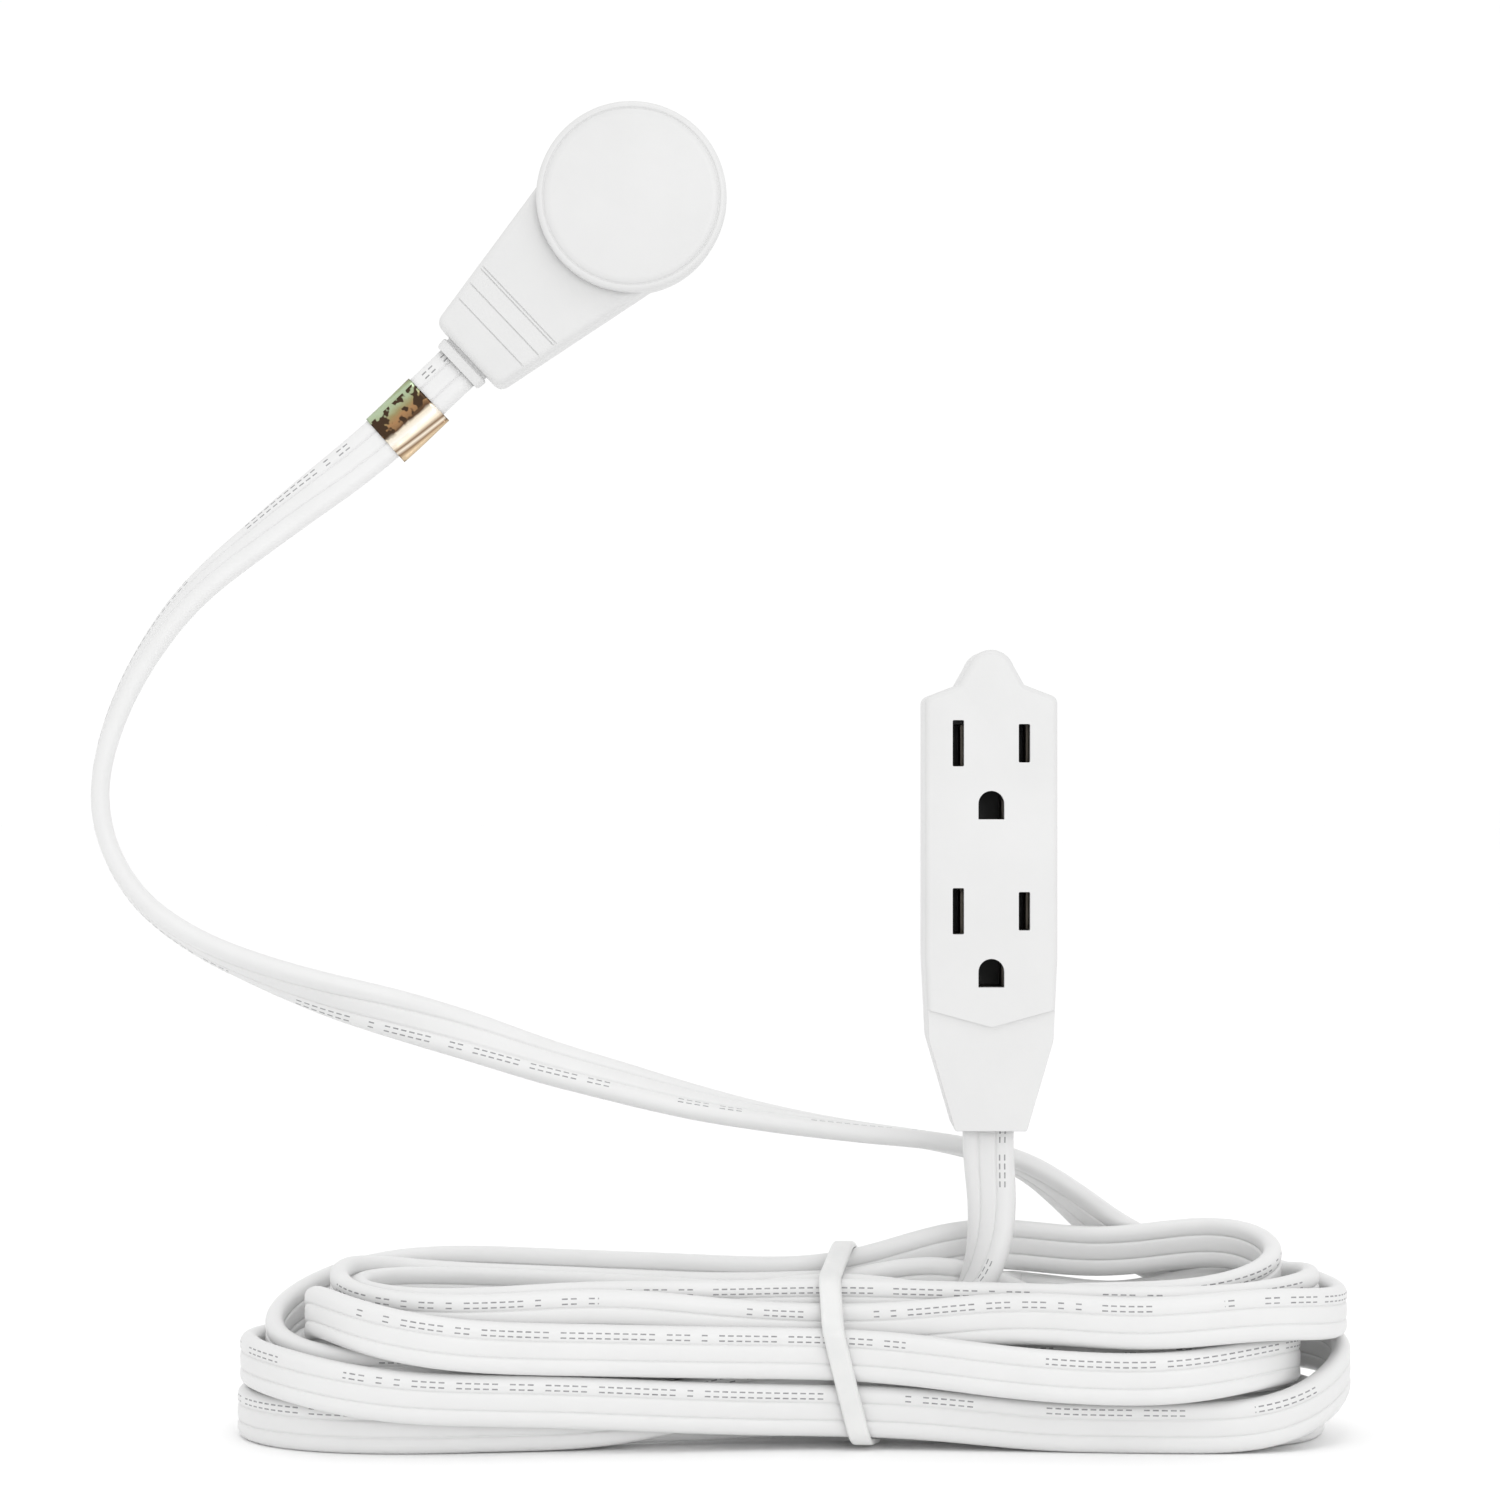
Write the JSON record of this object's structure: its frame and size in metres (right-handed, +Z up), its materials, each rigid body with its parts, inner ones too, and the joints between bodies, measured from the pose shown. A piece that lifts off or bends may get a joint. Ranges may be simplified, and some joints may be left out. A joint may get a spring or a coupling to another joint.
{
  "type": "three-outlet extension cord",
  "caption": "Household extension cord with a flat plug that swivels on its arm, a tied hank of flat cord and a slim upright receptacle with grounded outlets on its front and back.",
  "frame": {"origin": "midway between the plug's two flat blades, in the plane of the wall that the plug is pushed against", "axes": "+X to the right seen from the room, +Y into the wall along the blades, +Z up"},
  "size_m": [0.2519, 0.0746, 0.2657],
  "materials": {
    "white_plastic": "satin moulded plastic",
    "cord_jacket": "soft satin vinyl",
    "blade_metal": "nickel-plated brass",
    "spindle_steel": "turned steel",
    "contact_brass": "stamped brass",
    "black_plastic": "moulded phenolic",
    "foil": "iridescent foil",
    "tie_nylon": "translucent nylon",
    "wire_black": "satin insulation",
    "wire_white": "satin insulation",
    "wire_green": "satin insulation"
  },
  "bodies": {
    "cord_set": {"arm_front_shell": "white_plastic", "arm_rear_shell": "white_plastic", "line_wiper": "contact_brass", "neutral_wiper": "contact_brass", "ground_wiper": "contact_brass", "wiper_crimps": "contact_brass", "line_plug_wire": "wire_black", "neutral_plug_wire": "wire_white", "ground_plug_wire": "wire_green", "plug_strain_relief": "cord_jacket", "foil_label": "foil", "plug_lead": "cord_jacket", "cord_hank": "cord_jacket", "cable_tie": "tie_nylon", "receptacle_riser": "cord_jacket", "receptacle_front_shell": "white_plastic", "receptacle_back_shell": "white_plastic", "contact_carrier_front": "black_plastic", "contact_carrier_back": "black_plastic", "line_busbar": "contact_brass", "neutral_busbar": "contact_brass", "ground_busbar": "contact_brass", "busbar_crimps": "contact_brass", "line_outlet_wire": "wire_black", "neutral_outlet_wire": "wire_white", "ground_outlet_wire": "wire_green", "receptacle_strain_relief": "cord_jacket"},
    "plug_rotor": {"rotor_cap": "white_plastic", "pivot_spindle": "spindle_steel", "blade_carrier": "white_plastic", "line_blade": "blade_metal", "neutral_blade": "blade_metal", "ground_pin": "blade_metal", "line_ring": "contact_brass", "neutral_ring": "contact_brass", "ground_ring": "contact_brass"}
  },
  "joints": [
    {"name": "plug_swivel", "type": "hinge", "parent": "cord_set", "child": "plug_rotor", "pos_m": [0, 0, 0], "axis": [0, 1, 0], "continuous": true}
  ]
}
